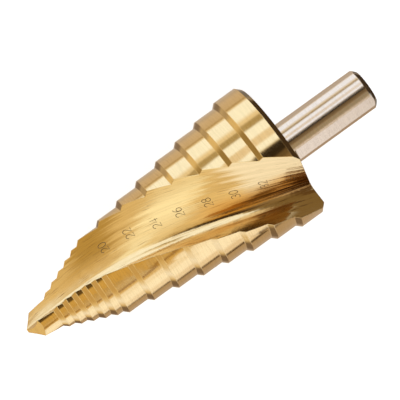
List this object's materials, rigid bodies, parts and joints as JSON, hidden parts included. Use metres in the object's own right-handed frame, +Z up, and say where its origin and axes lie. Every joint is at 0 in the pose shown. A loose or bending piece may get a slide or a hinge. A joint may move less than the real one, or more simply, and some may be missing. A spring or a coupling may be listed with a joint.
{
  "type": "step drill",
  "caption": "Stepped cone drill with cutting diameters from 8 to 34 mm, helical chip flutes, a chisel point and a round shank with jaw flats.",
  "frame": {"origin": "middle of the drill's footprint, on the bench that it lies on", "axes": "+Z up; the drill lies on its side with its axis in the XZ plane, its point low at -X and its shank at +X"},
  "size_m": [0.092, 0.0336, 0.0326],
  "materials": {
    "coated_steel": "ground high speed steel, gold nitride coating on the stepped body, bare on the shank"
  },
  "bodies": {
    "root": {"step_drill": "coated_steel"}
  },
  "joints": []
}
